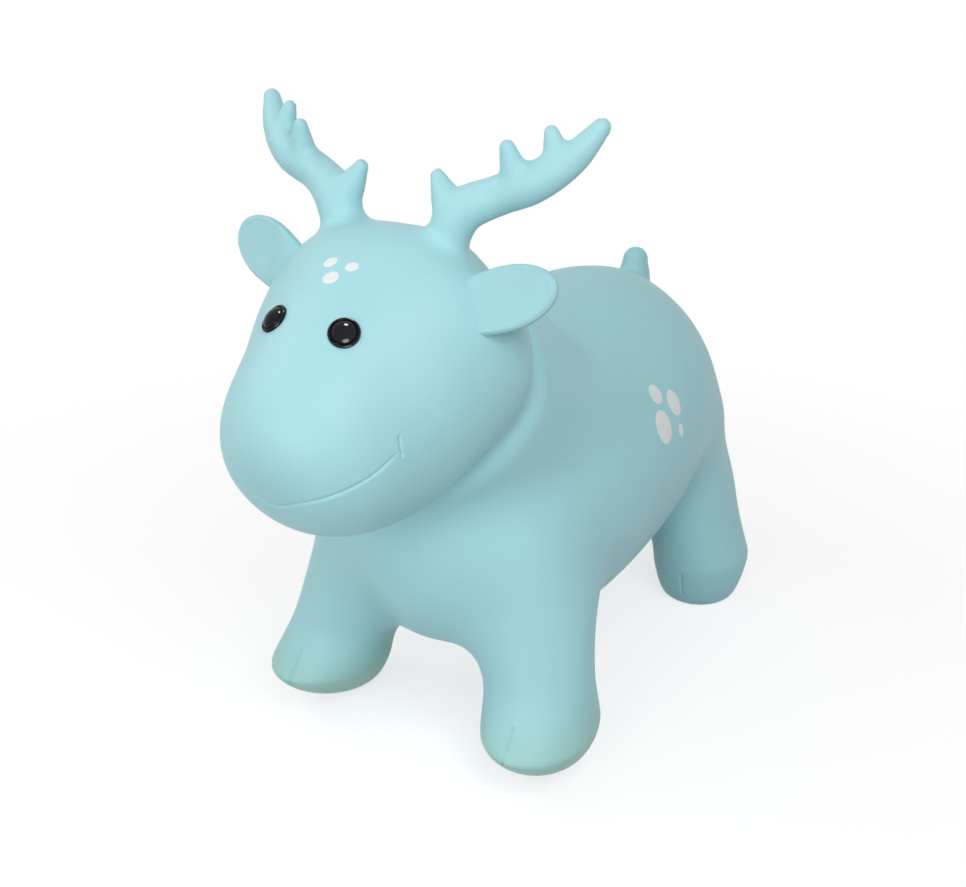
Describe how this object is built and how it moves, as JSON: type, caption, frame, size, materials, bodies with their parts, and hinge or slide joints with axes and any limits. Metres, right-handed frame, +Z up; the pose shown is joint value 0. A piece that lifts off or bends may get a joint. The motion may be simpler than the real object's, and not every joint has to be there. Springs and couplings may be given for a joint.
{
  "type": "bouncy ride on deer",
  "caption": "Inflatable soft-vinyl deer for a small child to sit on and bounce: barrel body, springy hoofed legs, antler grips, ears, tail stub and a belly air valve.",
  "frame": {"origin": "centre of the overall box at the floor, under the middle of the body", "axes": "-Y to the muzzle, +Y to the tail, +X to the animal's left, +Z up from the floor the hooves stand on"},
  "size_m": [0.295, 0.586, 0.5121],
  "materials": {
    "light_blue_vinyl": "satin soft vinyl, light blue",
    "hoof_vinyl": "satin soft vinyl, a little greener",
    "white_spot_paint": "flat white paint",
    "gloss_black_eye": "gloss black",
    "valve_white": "satin white"
  },
  "bodies": {
    "hooves": {"front_left_hoof": "hoof_vinyl", "front_right_hoof": "hoof_vinyl", "rear_left_hoof": "hoof_vinyl", "rear_right_hoof": "hoof_vinyl"},
    "body": {"torso_skin": "light_blue_vinyl", "neck_skin": "light_blue_vinyl", "head_skin": "light_blue_vinyl", "front_left_leg": "light_blue_vinyl", "front_right_leg": "light_blue_vinyl", "rear_left_leg": "light_blue_vinyl", "rear_right_leg": "light_blue_vinyl", "eye_left": "gloss_black_eye", "eye_right": "gloss_black_eye", "valve_insert": "valve_white", "forehead_spot_1": "white_spot_paint", "forehead_spot_2": "white_spot_paint", "forehead_spot_3": "white_spot_paint", "left_flank_spot_1": "white_spot_paint", "left_flank_spot_2": "white_spot_paint", "left_flank_spot_3": "white_spot_paint", "left_flank_spot_4": "white_spot_paint", "right_flank_spot_1": "white_spot_paint", "right_flank_spot_2": "white_spot_paint", "right_flank_spot_3": "white_spot_paint", "right_flank_spot_4": "white_spot_paint"},
    "antler_left": {"antler_left": "light_blue_vinyl"},
    "antler_right": {"antler_right": "light_blue_vinyl"},
    "ear_left": {"ear_left": "light_blue_vinyl"},
    "ear_right": {"ear_right": "light_blue_vinyl"},
    "tail": {"tail": "light_blue_vinyl"},
    "valve_plug": {"valve_plug": "valve_white"}
  },
  "joints": [
    {"name": "bounce", "type": "slide", "parent": "hooves", "child": "body", "axis": [0, 0, -1], "range_m": [0, 0.03], "stiffness_N_per_m": 7000, "springref_m": -0.005, "deforming": ["front_left_leg", "front_right_leg", "rear_left_leg", "rear_right_leg"]},
    {"name": "antler_left_flex", "type": "hinge", "parent": "body", "child": "antler_left", "pos_m": [0.0434, -0.1407, 0.4197], "axis": [1, 0, 0], "range_deg": [-12, 12], "stiffness_Nm_per_rad": 4},
    {"name": "antler_right_flex", "type": "hinge", "parent": "body", "child": "antler_right", "pos_m": [-0.0434, -0.1407, 0.4197], "axis": [1, 0, 0], "range_deg": [-12, 12], "stiffness_Nm_per_rad": 4},
    {"name": "ear_left_flex", "type": "hinge", "parent": "body", "child": "ear_left", "pos_m": [0.08268, -0.1563, 0.3968], "axis": [-0.3955, 0.2657, 0.8792], "range_deg": [-20, 15], "stiffness_Nm_per_rad": 0.8},
    {"name": "ear_right_flex", "type": "hinge", "parent": "body", "child": "ear_right", "pos_m": [-0.08268, -0.1563, 0.3968], "axis": [-0.3955, -0.2657, -0.8792], "range_deg": [-20, 15], "stiffness_Nm_per_rad": 0.8},
    {"name": "tail_flex", "type": "hinge", "parent": "body", "child": "tail", "pos_m": [0, 0.25156, 0.29574], "axis": [1, 0, 0], "range_deg": [-10, 10], "stiffness_Nm_per_rad": 1},
    {"name": "valve_plug_pull", "type": "slide", "parent": "body", "child": "valve_plug", "axis": [0, 0.1049, -0.9945], "range_m": [0, 0.022]}
  ]
}
